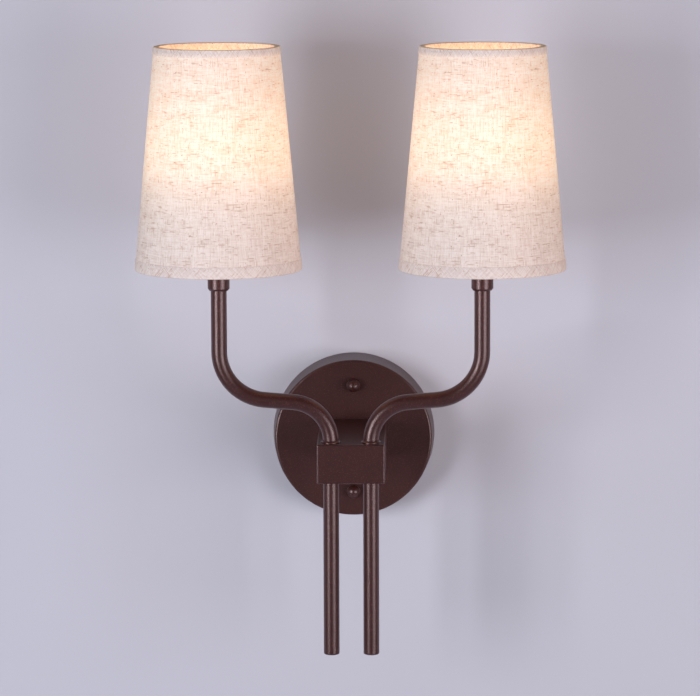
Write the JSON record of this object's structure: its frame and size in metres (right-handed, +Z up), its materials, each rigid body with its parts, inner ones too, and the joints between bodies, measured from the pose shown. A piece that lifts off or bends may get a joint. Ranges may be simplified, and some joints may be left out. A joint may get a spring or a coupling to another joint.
{
  "type": "double arm wall sconce",
  "caption": "Wall light: round canopy, rectangular stem, paired S-bent tube arms that run down through the stem as straight tails, tapered linen shades.",
  "frame": {"origin": "centre of the wall strap's slots, on the wall plane", "axes": "+Y into the wall, +Z up, the front faces -Y"},
  "size_m": [0.343, 0.2107, 0.4896],
  "materials": {
    "bronze": "satin fine-textured powder coat, dark reddish brown",
    "zinc_steel": "zinc plated",
    "brass": "plain",
    "bulb_cap_metal": "plain",
    "holder_plastic": "moulded black phenolic",
    "wire_insulation": "smooth",
    "connector_plastic": "smooth",
    "ground_green": "green lacquer",
    "frame_wire": "white powder coat",
    "liner": "translucent white",
    "linen": "slubbed linen weave",
    "binding": "bias-cut linen tape",
    "bulb_glass": "frosted"
  },
  "bodies": {
    "root": {"canopy": "bronze", "stem_block": "bronze", "box_strap": "zinc_steel", "stud_strap": "zinc_steel", "strap_eyelet": "zinc_steel", "canopy_studs": "zinc_steel", "stud_lock_nuts": "zinc_steel", "stem_back_plate": "zinc_steel", "stem_nipple": "zinc_steel", "stem_lock_washer": "zinc_steel", "stem_lock_nut": "zinc_steel", "ground_screw": "ground_green", "wire_connectors": "connector_plastic", "left_arm_tube": "bronze", "left_arm_foot_ring": "bronze", "left_tail_plug": "bronze", "left_socket_cup": "bronze", "left_socket_nipple": "zinc_steel", "left_lampholder_body": "holder_plastic", "left_lampholder_screw_shell": "brass", "left_lampholder_contact": "brass", "left_lamp_wires": "wire_insulation", "right_arm_tube": "bronze", "right_arm_foot_ring": "bronze", "right_tail_plug": "bronze", "right_socket_cup": "bronze", "right_socket_nipple": "zinc_steel", "right_lampholder_body": "holder_plastic", "right_lampholder_screw_shell": "brass", "right_lampholder_contact": "brass", "right_lamp_wires": "wire_insulation"},
    "left_bulb": {"left_bulb_glass": "bulb_glass", "left_bulb_cap": "bulb_cap_metal"},
    "left_retainer": {"left_shade_retainer": "holder_plastic"},
    "left_shade": {"left_shade_frame": "frame_wire", "left_shade_bottom_wire": "frame_wire", "left_shade_top_wire": "frame_wire", "left_shade_liner": "liner", "left_shade_cover": "linen", "left_shade_top_binding": "binding", "left_shade_bottom_binding": "binding"},
    "right_bulb": {"right_bulb_glass": "bulb_glass", "right_bulb_cap": "bulb_cap_metal"},
    "right_retainer": {"right_shade_retainer": "holder_plastic"},
    "right_shade": {"right_shade_frame": "frame_wire", "right_shade_bottom_wire": "frame_wire", "right_shade_top_wire": "frame_wire", "right_shade_liner": "liner", "right_shade_cover": "linen", "right_shade_top_binding": "binding", "right_shade_bottom_binding": "binding"},
    "upper_nut": {"upper_ball_nut": "bronze"},
    "lower_nut": {"lower_ball_nut": "bronze"}
  },
  "joints": [
    {"name": "left_bulb_turn", "type": "hinge", "parent": "root", "child": "left_bulb", "pos_m": [-0.1048, -0.144, 0.19], "axis": [0, 0, 1], "continuous": true},
    {"name": "left_retainer_turn", "type": "hinge", "parent": "root", "child": "left_retainer", "pos_m": [-0.1048, -0.144, 0.19], "axis": [0, 0, 1], "continuous": true},
    {"name": "left_shade_turn", "type": "hinge", "parent": "root", "child": "left_shade", "pos_m": [-0.1048, -0.144, 0.19], "axis": [0, 0, 1], "continuous": true},
    {"name": "right_bulb_turn", "type": "hinge", "parent": "root", "child": "right_bulb", "pos_m": [0.1048, -0.144, 0.19], "axis": [0, 0, 1], "continuous": true},
    {"name": "right_retainer_turn", "type": "hinge", "parent": "root", "child": "right_retainer", "pos_m": [0.1048, -0.144, 0.19], "axis": [0, 0, 1], "continuous": true},
    {"name": "right_shade_turn", "type": "hinge", "parent": "root", "child": "right_shade", "pos_m": [0.1048, -0.144, 0.19], "axis": [0, 0, 1], "continuous": true},
    {"name": "upper_nut_turn", "type": "hinge", "parent": "root", "child": "upper_nut", "pos_m": [0, -0.033, 0.04445], "axis": [0, 1, 0], "continuous": true},
    {"name": "lower_nut_turn", "type": "hinge", "parent": "root", "child": "lower_nut", "pos_m": [0, -0.033, -0.04445], "axis": [0, 1, 0], "continuous": true}
  ]
}
